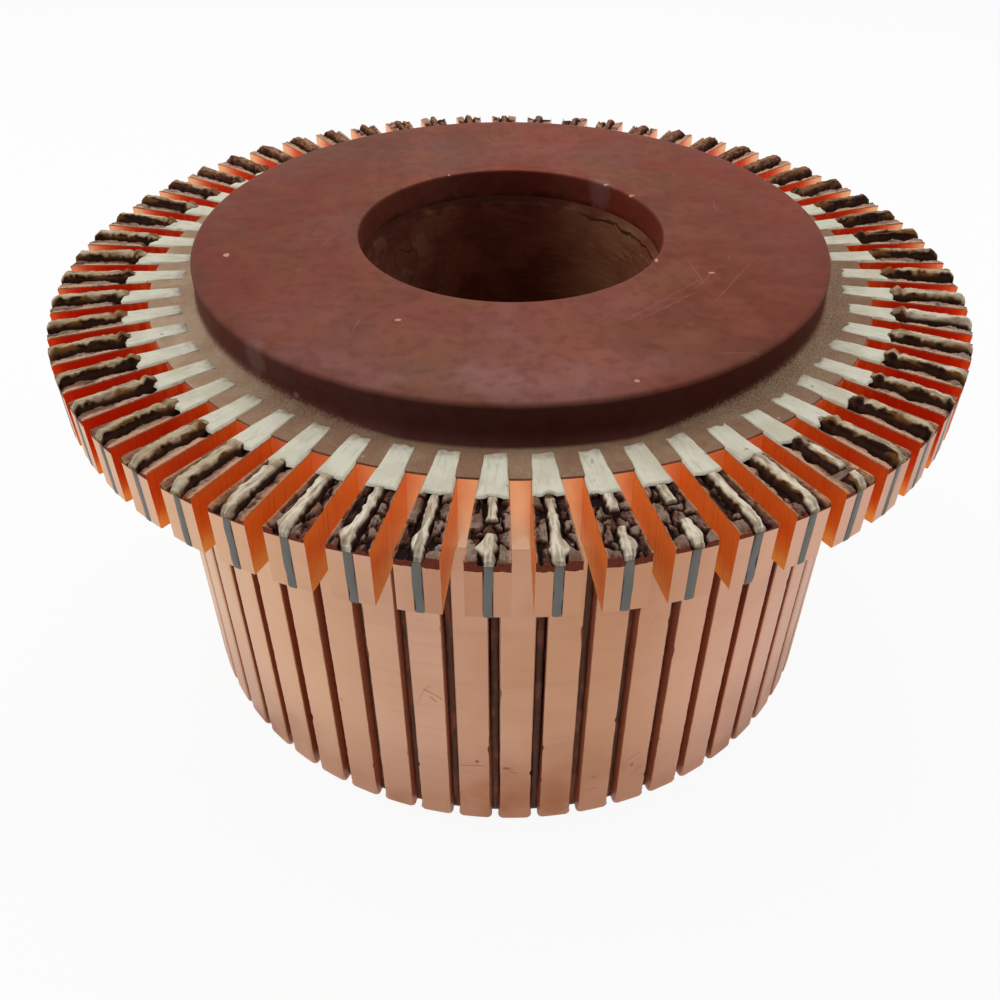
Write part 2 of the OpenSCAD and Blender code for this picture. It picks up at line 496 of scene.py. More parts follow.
@material(specular=0.25)
def micaCream(look):
    # mica pressed flat: cream, with greyish streaks along the radius, small dark specks and a dusty inner end
    lug = look.lug()
    patch = look.use(blotches, 230, 0.4, 0.68)
    streak = look.use(grain, 1, (2.2, 0.35, 1), where=lug)
    spots = look.use(specks, 900, 0.3, 0.08)
    grit = look.use(grain, 1400)
    dusty = ramp(look.radius + grit * 1.6, 47, 45.2)
    colour = layers(
        blend(patch, (212, 208, 188), (197, 190, 168)),
        (ramp(streak, 0.5, 0.72) * 0.55, (176, 172, 152)),
        (dusty * 0.6, blend(ramp(grit, 0.4, 0.62), (104, 80, 62), (164, 142, 120))),
        (spots * 0.6, (84, 66, 50)),
    )
    rough = 0.6 + patch * 0.2
    return look.finish(colour, rough, grit + streak, 0.35, 0.12 * mm)


@material(specular=0.06)
def micaRoll(look):
    # the plates' torn edges on the risers: from cream to beige by the plate's tone, streaked along the radius,
    # brown low down and at the inner end, and near black where the tone runs high, mostly painted shade on the side
    # that faces the camera
    tone = look.tone()
    lug = look.lug()
    streak = look.use(grain, 1.3, (2.6, 0.4, 1), where=lug)
    band = look.use(grain, 0.8, (1.9, 0.3, 1), where=lug)
    patch = look.use(blotches, 420, 0.42, 0.66)
    gold = ramp(band, 0.5, 0.6) * ramp(tone, 0.6, 0.95)
    white = look.use(blotches, 300, 0.58, 0.7) * ramp(tone, 0.6, 0.2)
    rear = ramp(look.y, 18, 40) * (0.55 + patch * 0.4)
    start = ramp(look.radius, 52.4, 50.6)
    deep = ramp(look.height, 60.25, 59.75) * ramp(look.radius, 60.7, 60.3)
    colour = layers(
        blend(ramp(tone, 0, 0.55), (230, 218, 196), (188, 170, 140)),
        (ramp(tone, 0.5, 1), (112, 82, 54)),
        (ramp(streak, 0.48, 0.62) * 0.45, (124, 98, 70)),
        (ramp(band, 0.5, 0.62) * 0.55, (112, 82, 54)),
        (patch * 0.25, (150, 112, 66)),
        # near black where the tone runs high, mostly the painted shade on the side that faces the camera
        (ramp(tone + (streak - 0.5) * 0.8, 0.95, 1.3), (36, 17, 12)),
        (gold * 0.7, (132, 88, 44)),
        (white * 0.5, (224, 218, 206)),
        (rear, blend(ramp(streak, 0.4, 0.6), (164, 110, 84), (88, 50, 38))),
        (start * patch * 0.7, (140, 106, 66)),
        (deep, (70, 44, 32)),
    )
    rough = 0.6 + patch * 0.2
    return look.finish(colour, rough, streak + patch, 0.4, 0.12 * mm)


@material(specular=0.03)
def mouldedResin(look):
    # red-brown phenolic: satin and mottled on the boss, with a painted sheen towards the front left and painted
    # shade along the front of its rim, painted shade down its side, painted light to the right of the mouth wall
    # and painted reflections on the mouth wall and the side, dusty at its foot and on the ring
    cloud = look.use(blotches, 34, 0.4, 0.62)
    haze = look.use(blotches, 62, 0.45, 0.65)
    mottle = look.use(blotches, 190, 0.42, 0.64)
    fine = look.use(blotches, 620, 0.45, 0.68)
    drawn = look.use(grain, 420, (0.3, 1, 1))
    longMarks = look.use(scratches, 46, 0.0035, 0.6)
    shortMarks = look.use(scratches, 170, 0.008, 0.6, (1, 0.5, 1))
    spots = look.use(specks, 160, 0.05, 0.1)
    grit = look.use(grain, 900)
    olive = look.use(blotches, 95, 0.48, 0.66)
    # painted sheen: a lighter purplish haze towards the front left, over the mottling
    near = ramp(look.y, -6, -34) * ramp(look.x, 24, 4)
    mottleAndPaintedSheen = haze * 0.25 + near * (0.3 + haze * 0.35)
    redder = marks(look, [(onBoss(27, -14), 16), (onBoss(-26, -13), 13)])
    scored = strokes(look, onBoss, lambda p: Vector((0, 0, 1)), 0.12, [
        (13, -25.3, 24.7, -14), (14.2, -25.6, 23.0, -18), (23.1, -16.7, 26, -12.1), (22.9, -10.4, 23.7, -16.4),
        (18.1, -20.5, 21.4, -19.5), (-25.2, -5.1, -24.1, -3.3), (-2.7, 30.5, -1.1, 35.5), (-3.4, 34.6, -1.6, 30.9),
        (17, 16.8, 19.3, 18.4), (24.4, -20.6, 30.9, -10.4), (-18.1, -24.6, -18.8, -27.8)])
    lightMarks = most(scored, longMarks, shortMarks * mottle)
    chips = marks(look, [
        (onBoss(-37.1, -8.0), 0.5, (1, 0.7, 1)), (onBoss(-13.7, -25.1), 0.35, (0.7, 1, 1)),
        (onBoss(25.2, -13.4), 0.3, (0.6, 1, 1)), ((-24.6, -34.8, 61.1), 0.5)])
    # painted shade along the front half of the boss's rim
    rim = ramp(look.radius, 39, 42) * ramp(look.y, 10, -10)
    # painted shade: the boss's side darkened, less towards the left
    side = ramp(look.radius, 42.45, 42.58) * ramp(look.height, 64.7, 64.2) * (1.15 - ramp(look.x, 0, -40) * 0.5)
    mouth = ramp(look.radius, 21, 20.75)
    ragged = look.use(grain, 300)
    shadow = mouth * ramp(look.height + ragged * 3.0, 63.6, 61.9)
    # painted reflections: a pale smear on the mouth wall at the right rear and one on the boss's side at the front
    # left
    smear = marks(look, [
        ((13.6, 15.5, 64.2), 1.4, (0.55, 0.55, 0.35)), ((-29.6, -30.6, 63.4), 1.2, (0.5, 0.5, 0.4))])
    worn = marks(look, [
        (onBoss(14.4, 15.1), 0.3, (0.5, 0.9, 1)), (onBoss(17.6, 11.0), 0.35, (0.5, 0.8, 1)),
        (onBoss(18.6, -9.7), 0.3, (1, 0.4, 1)), (onBoss(-9.0, 18.9), 0.25)])
    beside = ramp(abs(look.x), 12, 36)
    sand = look.use(grain, 3800)
    dustTop = 60.1 + beside * (1.2 + ramp(sand, 0.3, 0.65) * 1.3)
    heaped = ramp(look.height, dustTop, 60) * ramp(look.radius, 42.4, 43)
    dust = maths("MULTIPLY", heaped, 0.75 + grit * 0.4, clamp=True)
    flakes = look.use(specks, 620, 0.16, 0.1)
    heap = ramp(look.radius, 47.4, 44.4) * ramp(sand, 0.42, 0.6)
    dirt = layers(
        blend(mottle, (142, 110, 88), (154, 128, 104)),
        (ramp(sand, 0.6, 0.32) * 0.4, (112, 84, 62)),
        (ramp(look.x, -22, -40), blend(mottle, (166, 136, 110), (184, 158, 132))),
        (flakes * 0.6, (206, 194, 176)),
        (heap * beside * 0.32, (190, 170, 146)),
    )
    colour = layers(
        blend(cloud, (128, 58, 44), (108, 62, 46)),
        (mottleAndPaintedSheen, (142, 96, 90)),
        (redder * 0.5, (116, 50, 36)),
        (olive * 0.6, (104, 72, 48)),
        (mottle * 0.45, (142, 84, 66)),
        (fine * 0.3, (84, 42, 32)),
        (ramp(look.x, -12, -36) * 0.35, (96, 52, 44)),
        (ramp(look.x, 12, 36) * 0.3, (108, 50, 36)),
        (ramp(drawn, 0.5, 0.72) * 0.1, (148, 98, 82)),
        (lightMarks * 0.28, (172, 122, 102)),
        (most(chips, spots) * 0.75, (206, 168, 150)),
        (rim * 0.25, (84, 44, 36)),
        (side * 0.68, (54, 18, 15)),
        # the mouth wall with painted light to the right
        (mouth * 0.6, blend(ramp(look.x, 4, 18), (86, 32, 25), (124, 46, 34))),
        (shadow * 0.68, (36, 14, 11)),
        (smear * 0.32, (146, 116, 110)),
        (worn * 0.8, (214, 164, 146)),
        (dust, dirt),
    )
    rough = 0.42 + (mottle * 0.1 + dust * 0.35)
    return look.finish(colour, rough, grit + lightMarks * -0.5, 0.12, 0.15 * mm)


@material(specular=0.06)
def tornResin(look):
    # resin torn over the risers: near black low down in the cracks and trenches as painted shade, brown higher up,
    # grey on the flats and along the slots
    lug = look.lug()
    fibre = look.use(grain, 1.5, (2.4, 0.7, 1), where=lug)
    patch = look.use(blotches, 260, 0.4, 0.65)
    sand = look.use(grain, 2200)
    rasp = fibre + sand
    level = look.height + (rasp - 1.0) * 0.45
    flat = blend(patch, (148, 126, 112), (116, 86, 70))
    flat = blend(ramp(look.y, 15, 45) * 0.7, flat, (190, 138, 112))
    smear = look.tone() * ramp(sand + patch * 0.3, 0.25, 0.6)
    front = ramp(look.y, -44, -53)
    atEnd = ramp(look.radius, 60.9, 60.99)
    colour = layers(
        # painted shade: near black where the surface lies low, in the cracks and trenches
        blend(ramp(level, 59.35, 59.65), (26, 11, 9), (84, 50, 40)),
        (ramp(level, 59.6, 59.88), flat),
        (smear * 0.85, blend(front, (210, 164, 134), (214, 146, 104))),
        (atEnd, blend(fibre, (112, 46, 32), (150, 76, 54))),
    )
    rough = 0.5 + fibre * 0.25
    return look.finish(colour, rough, rasp, 0.7, 0.25 * mm)


@material(specular=0.05)
def stainedSteel(look):
    # the bush: dull brown stained steel, streaked round the bore, painted lighter to the right, crusted to the
    # left, with a painted shadow on the bevel under the mouth and painted shade in the crease at its foot on the
    # right
    streak = look.use(grain, 1500, (0.18, 0.18, 1))
    stain = look.use(blotches, 150, 0.4, 0.62)
    cracks = look.use(scratches, 240, 0.016, 0.46)
    film = look.use(blotches, 210, 0.47, 0.53)
    # painted light: the bore lighter to the right, its streaks stronger there
    toLeft, paintedLightBoreRight = ramp(look.x, -6, -16), ramp(look.x, 3, 19)
    ragged = look.use(grain, 420)
    level = look.height + (ragged - 0.5) * 2.4
    # painted shadow: a dark band on the bevel under the mouth, weaker to the right
    ledge = ramp(level, 59.5, 60.6) * (1 - paintedLightBoreRight * 0.6)
    # painted shade in the crease at the foot of the mouth's bevel, on the right
    creaseShadeRight = ramp(look.x, 9, 13)
    crease = ramp(abs(level - 59.85), 0.3, 0.1)
    colour = layers(
        blend(stain, (116, 62, 42), (96, 46, 32)),
        (toLeft, blend(stain, (122, 78, 56), (100, 54, 40))),
        (paintedLightBoreRight, blend(stain, (140, 92, 64), (124, 72, 50))),
        (ramp(streak, 0.48, 0.7) * (0.08 + paintedLightBoreRight * 0.4), (160, 112, 80)),
        (film * toLeft * 0.55, (84, 40, 29)),
        (cracks * toLeft * 0.7, (40, 19, 13)),
        (ledge * 0.85, (58, 26, 19)),
        (crease * creaseShadeRight * 0.8, (26, 12, 9)),
    )
    rough = 0.6 + streak * 0.3
    return look.finish(colour, rough, streak - cracks, 0.3, 0.15 * mm)


print("materials made")

segment = {
    "edge": 0.15,  # rounding along a segment's sides
    "corner": 0.5,  # extra rounding at its free end
    "endRound": 0.8,
    "bevel": 0.22,  # how far the groove's edges were scraped back
    "ragged": 0.12,  # unevenness of those edges
    "nick": 0.22,  # depth of a few nicks there
    "lipTop": 59.75,  # the saw smeared copper up to here round a slot
    "lip": 0.16,  # width of that smear at its foot
    "step": 0.6,  # spacing of points along the track
    "sawnGaps": (5, 8),  # first and last gap between columns in a slot
    "seed": 11,
}


def wedgeHalf(r, gap):
    # half the width at radius r between two planes that stand off the plates' middles by the gap
    return r * np.sin(pitch / 2 - np.arcsin(gap / r))


def sharp(*places):
    # corners without rounding, between which an outline stays uncut
    return [(r, z, 0, whole) for r, z in places]


def dovetail():
    body, foot = ring["bodyR"], ring["footR"]
    low, high, flare = ring["neckLow"], ring["neckHigh"], ring["flare"]
    return sharp((body, high), (foot, high + flare), (foot, low - flare), (body, low))


def segmentOutline():
    # three half sections with matching points: the plain one, one raised to the smeared lip
    # and one that follows the saw from first to last
    track, riser, under, top = ring["trackR"], ring["riserR"], ring["riserUnder"], ring["barTop"]
    saw, skinTop, lipTop = ring["sawR"], ring["skinTop"], segment["lipTop"]
    sawAt = ring["bedR"] + saw
    runOut = skinTop - math.sqrt(saw ** 2 - (sawAt - track) ** 2)
    bedTop = sawAt - math.sqrt(saw ** 2 - (skinTop - top) ** 2)
    full = softOutline([
        (ring["bodyR"], 0, 0, 3), (track, 0, segment["endRound"], segment["step"]), (track, runOut, 0, 1),
        (track, under, 0, 2), (riser, under, 0.2, 1.2), (riser, top, 0.12, 2), (bedTop, top, 0, 4),
        (ring["bodyR"], top, 0, whole)] + dovetail())
    first = np.argmin(np.abs(full - (track, runOut)).sum(axis=1))
    last = np.argmin(np.abs(full - (bedTop, top)).sum(axis=1))
    sawn, raised = full.copy(), full.copy()
    height = runOut + (lipTop - runOut) * np.linspace(0, 1, last - first + 1)
    sawn[first:last + 1] = np.stack([sawAt - np.sqrt(saw ** 2 - (height - skinTop) ** 2), height], axis=1)
    raised[:, 1] += (lipTop - top) * smooth(top - 0.3, top, full[:, 1]) * (full[:, 0] > bedTop - 0.01)
    return full, raised, sawn, first, last


def segmentShape(full, raised, sawn, seed):
    # a half section carried across the segment: x runs over the columns from side to side and
    # y = -sqrt(r2 - x2); the side columns curl in to round the edges, and between the slot's walls
    # the section is the sawn one
    r, z = full.T
    ahead = np.roll(full, -1, axis=0) - np.roll(full, 1, axis=0)
    out = np.stack([ahead[:, 1], -ahead[:, 0]], axis=1) / np.linalg.norm(ahead, axis=1)[:, None]
    edge = segment["edge"] + segment["corner"] * bell(z, 0, 1.1)
    scraped = (np.abs(r - ring["trackR"]) < 0.01) & (z > 1.0) & (z < ring["riserUnder"] - 0.3)
    columns = []
    for side in (-1, 1):
        uneven = (noise(z * 0.9, z * 0 + side, seed) + noise(z * 2.1, z * 0 + side, seed + 5)) / 2
        nicks = smooth(0.9, 1.0, noise(z * 0.55, z * 0 + side * 3, seed + 9))
        inset = scraped * (segment["bevel"] + segment["ragged"] * (uneven - 0.3) + segment["nick"] * nicks)
        curled = []
        for turn in (math.pi / 2, math.pi / 4, 0):
            line = full - out * (edge * (1 - math.cos(turn)))[:, None]
            across = wedgeHalf(r, ring["micaHalf"]) - edge * (1 - math.sin(turn)) - inset
            curled.append((side * across, line))
        middle = (side * (np.abs(curled[2][0]) + ring["slotHalf"]) / 2, full)
        wall = z * 0 + side * ring["slotHalf"]
        half = curled + [middle, (wall + side * segment["lip"], full), (wall, raised), (wall, sawn)]
        columns += half if side < 0 else [(z * 0, sawn)] + half[::-1]
    x, line = (np.concatenate(part) for part in zip(*columns))
    return x, *line.T, len(columns)


def makeSegments():
    full, raised, sawn, first, last = segmentOutline()
    rows = len(full)
    for k in range(ring["count"]):
        x, r, z, columns = segmentShape(full, raised, sawn, segment["seed"] + k)
        quads = gridQuads(columns, rows, True)
        gap, along = np.divmod(np.arange(len(quads)), rows)
        low, high = segment["sawnGaps"]
        tags = ((gap >= low) & (gap <= high) & (along >= first) & (along < last)).astype(int)
        points, faces, tags, index = weld(placed(x, r, z, k * pitch), quads, tags)
        caps = [index[:rows].tolist(), index[-rows:][::-1].tolist()]
        addPiece(f"bar_{k + 1:02d}", points, faces + caps, [turnedCopper, sawnCopper],
                 [f"segment_{k + 1:02d}"], np.append(tags, [0, 0]),
                 tone=np.full(len(points), hash01(k, 3.0, 21)), crease=50)


makeSegments()
print("copper segments made")

plate = {
    "across": np.array([-1.0, -0.6, 0.6, 1.0]) * 0.44,  # columns over a plate's thickness
    "setback": 0.7,  # how far a plate stops short of the free ends
    "rough": 0.25,  # unevenness of the groove's floor
    "proud": 0.03,  # how far a plate stands out of a riser's end
    "endEdge": 0.05,  # rounding of its two edges there
    "grooveEdge": 0.1,  # rounding of its two edges in the groove
    "endWave": 0.3,  # wandering of the line on a riser's end
    "endFray": 0.1,  # unevenness of that line's sides
}


def onPlate(x, r, z, k):
    # points beside the radial plane of the plate with the number k, counted from 0
    return placed(x, r, z, (k + 0.5) * pitch)


def makePlates():
    # one outline for each plate in its own radial plane, carried across the plate's thickness
    body, groove, riser = ring["bodyR"], ring["grooveR"], ring["riserR"]
    under, top, setback = ring["riserUnder"], ring["barTop"], plate["setback"]
    outline = softOutline([
        (body, setback, 0, 4), (groove, setback, 0.15, 0.7), (groove, under, 0, 3),
        (riser, under, 0.1, 0.6), (riser, top, 0.1, 5), (body, top, 0, whole)] + dovetail())
    rows, columns = len(outline), len(plate["across"])
    k, x, i = lattice(plate["across"], np.arange(rows))
    r, z = outline[i, 0], outline[i, 1]
    inGroove = (np.abs(r - groove) < 0.01) & (z > 1.2)
    atEnd = np.abs(r - riser) < 0.01
    edge, side = np.abs(x) > 0.4, np.sign(x)
    r = r + inGroove * plate["rough"] * (noise(z * 1.3, x * 2 + k * 7, 3) - 0.6)
    r = r + atEnd * (plate["proud"] - plate["endEdge"] * edge) - plate["grooveEdge"] * edge * inGroove
    wave = plate["endWave"] * waver(z * 0.45, k * 5, 8)
    wave = wave + plate["endFray"] * side * (noise(z * 1.1, side + k * 5, 12) - 0.3)
    x = x + atEnd * wave * smooth(under, under + 1.0, z)
    loop = np.arange(rows)
    caps = np.stack([loop, loop[::-1] + (columns - 1) * rows])
    faces = copies(columns * rows, gridQuads(columns, rows, True), caps)
    addPiece("plate_edges", onPlate(x, r, z, k), faces, [micaEdge], ["mica_plates"])


makePlates()

blade = {
    "inner": 51.3, "outer": 61.0, "rows": 86, "across": 17,
    "low": 59.2, "top": 60.62, "uneven": 0.2,
    "half": 0.62, "wander": 0.3,
    "curlAt": 52.2, "curlWidth": 0.4,  # a small curl near the inner end of most rolls
    "lug": 6.0,  # spacing of the plates in their own map
    "blobs": {  # plate: radius, extra half width, shift
        54: (59.6, 0.3, -0.3), 55: (59.4, 0.6, -0.4), 56: (59.0, 0.3, -0.2), 57: (59.3, 0.5, -0.3),
        1: (59.4, 0.5, 0.1), 2: (59.6, 0.4, 0.15), 3: (59.8, 0.35, 0.1)},
    "mood": [  # degrees from the front, how dull, where the painted shade on the side that faces the camera starts
        (0, 0.0, 1.2), (15, 0.1, 0.8), (32, 0.2, 0.15), (59, 0.3, 0.15), (65, 0.25, 0.35), (71, 0.12, 0.7),
        (78, 0.3, 0.5), (84, 0.55, 0.3), (97, 0.7, 0.2), (106, 0.8, 0.15), (125, 0.9, 0.2), (150, 0.95, 0.3),
        (180, 0.9, 0.6), (210, 0.9, 0.3), (238, 0.5, 0.1), (252, 0.35, 0.2), (275, 0.52, 0.4),
        (305, 0.5, 0.35), (330, 0.25, 0.55), (348, 0.0, 1.2), (360, 0.0, 1.2)],
    "breaks": {57: (55.5, 57.3), 2: (54.7, 57.0), 3: (54.9, 57.4), 6: (58.0, 59.0)},  # plate: from, to
}


def sideways(k):
    # how far a plate lies to the left (-1) or the right (1) of the front
    return np.sin((k + 0.5) * pitch)


def frontwards(k):
    # how far a plate lies to the front (1) or the rear (-1)
    return np.cos((k + 0.5) * pitch)


def toSide(k, start, end):
    # 0 for the plates in front, 1 for those at the sides
    return smooth(start, end, np.abs(sideways(k)))


def rollShift(k):
    # how far a roll leans away from the front
    return sideways(k) * (0.42 + 0.38 * toSide(k, 0.25, 0.6))


def brokenOff(r):
    # 1 where a plate's blade is broken off, else 0
    gone = np.zeros_like(r)
    for number, (start, end) in blade["breaks"].items():
        gone[number - 1] = smooth(start - 0.15, start + 0.1, r[0]) * (1 - smooth(end - 0.1, end + 0.2, r[0]))
    return gone


def bladeCourse(r, k, beside, front):
    # half width, middle and top of each roll along the radius, which wander, with a curl, blobs and breaks
    own = k * 9.0
    half = blade["half"] + 0.3 * beside + 0.2 * waver(r * 0.5, own, 2)
    toEnd = smooth(58.6, 60.8, r) * (1 - toSide(k, 0.6, 0.85))
    middle = rollShift(k) * (1 - toEnd) + blade["wander"] * (1 - 0.4 * beside) * waver(r * 0.22, own, 6)
    top = blade["top"] + 0.1 * np.abs(sideways(k)) - blade["uneven"] * noise(r * 0.4, own, 7)
    curl = beside * (hash01(k, 6.0, 33) > 0.3)
    knob = bell(r, blade["curlAt"], blade["curlWidth"])
    half = half + 0.14 * curl * knob
    top = top + curl * (0.16 * knob - 0.25 * bell(r, 53.0, 0.25))
    for number, (at, wide, shift) in blade["blobs"].items():
        blob = bell(r[0], at, 0.95)
        half[number - 1] += wide * blob * (0.75 + 0.5 * noise(r[0] * 1.6, r[0] * 0 + number, 14))
        middle[number - 1] += shift * blob
    top = top - 0.25 * smooth(-0.6, -0.95, frontwards(k)) * (0.4 + 1.2 * noise(r * 1.1, own, 17))
    top = top - 0.4 * (1 - smooth(51.3, 52.4, r)) - 1.2 * brokenOff(r)
    top = top - (0.35 + 0.25 * beside) * smooth(60.0, 61.0, r) ** 2 - 0.3 * front
    return half - 0.16 * front * smooth(59.8, 61, r) - 0.06 * front, middle, top


def bladeTone(r, turn, k):
    # how dark each point is: the mood of its plate, more on the side that faces the camera as painted shade, and at
    # the inner knob
    own, side = k * 9.0, sideways(k)
    at, dull, edge = np.array(blade["mood"]).T
    degrees = np.degrees((k + 0.5) * pitch)
    mood = np.interp(degrees, at, dull) + 0.25 * (hash01(k, 4.0, 31) - 0.5)
    edge = np.interp(degrees, at, edge)
    torn = noise(r * 0.9, turn * 1.5 + own, 36) + 0.5 * noise(r * 2.6, turn * 3 + own, 37) - 0.75
    # painted shade: darker on the side of each roll that faces the camera, with a ragged edge
    shade = 1.25 * smooth(edge - 0.1, edge + 0.4, -np.sign(side) * turn + 0.5 * torn)
    return np.clip(mood + shade + smooth(53.6, 52.4, r) * (torn + 0.5) * np.abs(side), 0, 1.4)


def makeBlades():
    # a roll along each plate: a rounded profile over the course of its middle, lumpy and frayed
    rows, across, low = blade["rows"], blade["across"], blade["low"]
    k, r, turn = lattice(np.linspace(blade["inner"], blade["outer"], rows), np.linspace(-1, 1, across))
    own, facing = k * 9.0, frontwards(k)
    beside, front = toSide(k, 0.25, 0.6), smooth(0.7, 0.95, facing)
    half, middle, top = bladeCourse(r, k, beside, front)
    rough = 1 + 1.6 * smooth(-0.2, -0.6, facing)
    profileX = np.sin(turn * math.pi / 2)
    profileZ = np.clip(1 - np.abs(profileX) ** (3.2 + 2.8 * front), 0, 1) ** 0.55
    lump = 0.1 * waver(r * 2.2, turn * 2 + own, 20) + 0.1 * rough * waver(r * 0.5, turn * 5 + own, 23)
    folds = 0.16 * waver(r * 1.3, turn * 4.5 + own, 71) + 0.12 * waver(r * 3.2, turn * 6 + own, 73)
    frayed = (0.16 * rough + 0.14 * front) * waver(r * 1.9, np.sign(turn) + own, 27)
    x = middle + (half + frayed) * profileX
    z = low + (top - low + lump + beside * folds) * profileZ
    end, i = np.arange(across), np.arange(rows - 1) * across
    caps = np.stack([end, end[::-1] + (rows - 1) * across])
    base = np.stack([i, i + across - 1, i + 2 * across - 1, i + across], axis=1)
    faces = copies(rows * across, gridQuads(rows, across, False), base, caps)
    addPiece("mica_blades", onPlate(x, r, z, k), faces, [micaRoll], ["mica_plates"],
             uv=np.stack([x + k * blade["lug"], r], axis=-1), tone=bladeTone(r, turn, k), crease=60)


makeBlades()

strip = {
    "inner": 44.4, "outer": 52.2, "rows": 36, "columns": 19,
    "low": 59.82, "top": 60.1, "jagged": 0.4, "wavy": 0.1,
    "gap": 0.02,  # between a strip and the slots beside it
}


def makeStrips():
    # the flattened edge of each plate: a thin slab flush with the ring, with wavy sides, a torn outer end
    # and an inner end that fades out under dust
    rows, columns, low = strip["rows"], strip["columns"], strip["low"]
    k, v, u = lattice(np.linspace(0, 1, rows), np.linspace(-1, 1, columns))
    own = k * 3.0
    ragged = noise(u * 1.3, own, 5) + 0.6 * noise(u * 4.5, own, 6)
    notch = bell(u, 0, 0.33) * 0.9 * smooth(0.55, 0.9, hash01(k, 3.0, 9))
    end = strip["outer"] - 0.5 * smooth(-0.6, 0.1, sideways(k)) - strip["jagged"] * (ragged - 0.6) - notch
    dusty = smooth(0.1, 0.7, sideways(k))
    start = strip["inner"] - 0.2 + (0.4 + 0.7 * dusty) * noise(u * 1.8, own, 15)
    start = start + 0.8 * dusty * hash01(k, 7.0, 3)
    r = start + (end - start) * v
    half = wedgeHalf(r, ring["slotHalf"]) - strip["gap"] - strip["wavy"] * noise(r * 0.8, own + np.sign(u), 25)
    x = half * u
    rim = smooth(0, 0.1, 1 - np.abs(u)) * smooth(0, 0.06, v) * smooth(0, 0.03, 1 - v)
    lumps = 0.07 * waver(r * 0.7, u * 1.5 + k * 5.0, 33) + 0.04 * waver(r * 2.5, u * 4 + k * 5.0, 35)
    z = low + (strip["top"] + lumps - low) * rim ** 0.5
    quads = gridQuads(rows, columns, False)
    atCorner = [0, columns - 2, (rows - 2) * (columns - 1), len(quads) - 1]
    corners = quads[atCorner]
    corners[1:3] = np.roll(corners[1:3], 1, axis=1)  # each corner cell is halved from the corner inwards
    tris = np.concatenate([corners[:, :3], corners[:, [0, 2, 3]]])
    a = np.arange(rows * columns).reshape(rows, columns)
    rimLoop = np.concatenate([a[0], a[1:, -1], a[-1, -2::-1], a[-2:0:-1, 0]])
    faces = copies(rows * columns, np.delete(quads, atCorner, axis=0), tris, rimLoop[None])
    addPiece("mica_strips", onPlate(x, r, z, k), faces, [micaCream], ["mica_plates"],
             uv=np.stack([x + k * blade["lug"], r], axis=-1), crease=60)


makeStrips()
print("mica made")

hub = {
    "bushR": 24.0, "low": 1.0, "ringOut": 48.75, "steps": 228,
    "bossR": 42.6, "footRound": 1.5, "bossEdge": 0.6,
    "mouthR": 20.7, "mouthFloor": 61.0, "mouthEdge": 0.35,
    "gripR": 23.2, "gripLow": 27.0, "gripHigh": 35.0,
}


def revolve(outline, steps):
    # an outline carried round the axis in equal steps
    step, i = np.meshgrid(np.arange(steps), np.arange(len(outline)), indexing="ij")
    points = placed(0, outline[i, 0], outline[i, 1], step * 2 * math.pi / steps)
    return points, (gridQuads(steps + 1, len(outline), True) % step.size).tolist()


def grip():
    # the groove that locks the bush
    out, low, high = hub["bushR"], hub["gripLow"], hub["gripHigh"]
    return sharp((out, low), (hub["gripR"], low), (hub["gripR"], high), (out, high))


def makeHub():
    bossR, mouthR, top, floor = hub["bossR"], hub["mouthR"], ring["bossTop"], hub["mouthFloor"]
    outline = softOutline([
        (hub["bushR"], hub["low"], 0, 6), (ring["bodyR"], hub["low"], 0, whole)] + dovetail()[::-1] + [
        (ring["bodyR"], ring["barTop"], 0, whole), (hub["ringOut"], ring["barTop"], 0, 5),
        (hub["ringOut"], ring["skinTop"], 0, 0.8), (bossR, ring["skinTop"], hub["footRound"], 1),
        (bossR, top, hub["bossEdge"], 2.5), (mouthR, top, hub["mouthEdge"], 1),
        (mouthR, floor, 0, 5), (hub["bushR"], floor, 0, whole)] + grip()[::-1])
    points, faces = revolve(outline, hub["steps"])
    addPiece("hub_moulding", points, faces, [mouldedResin], ["moulded_hub"])


makeHub()

skin = {
    "inner": 48.75, "rows": 62, "columns": 25, "cells": 15, "seed": 57,
    "gap": 0.03,  # between the skin and the slots beside it
    "low": 59.15,  # where the skin meets the copper
    "redBand": 58.6,  # where it ends on the front lugs
    "pit": -0.75,  # depth of the cracks below the skin's top
    "limits": (-0.78, 0.2),  # lowest and highest rise
    "stretch": 0.75,  # cells are longer along the radius
    "underStrip": -0.15,  # how far it lies below its top under the flattened mica
    "proud": 0.03,  # how far it stands out of a riser's end
}


def skinCells(x, r, k):
    # the plateau of the nearest of some cells with random middles, heights and tilts,
    # and how far a point lies from the crack round it
    rng = np.random.default_rng(skin["seed"])
    size = (ring["count"], skin["cells"])
    seedR = rng.uniform(50.5, 61.2, size)[:, None, None]
    seedX = rng.uniform(-2.3, 2.3, size)[:, None, None]
    lift = -0.1 - 0.45 * rng.uniform(0, 1, size)[:, None, None] ** 2
    tilt = rng.uniform(-0.25, 0.25, size)[:, None, None]
    own = k * 11
    bentX = x + 0.45 * waver(x * 1.7 + own, r * 1.3, 61) + 0.2 * waver(x * 4 + own, r * 3, 63)
    bentR = r + 0.6 * waver(x * 1.5 + own, r * 1.2, 65)
    away = np.hypot(bentX[..., None] - seedX, skin["stretch"] * (bentR[..., None] - seedR))
    near = np.argsort(away, axis=-1)
    first, second = (np.take_along_axis(away, near[..., i:i + 1], -1)[..., 0] for i in (0, 1))
    slope = lift + tilt * (x[..., None] - seedX)
    return np.take_along_axis(slope, near[..., :1], -1)[..., 0], smooth(0.0, 0.32, second - first)


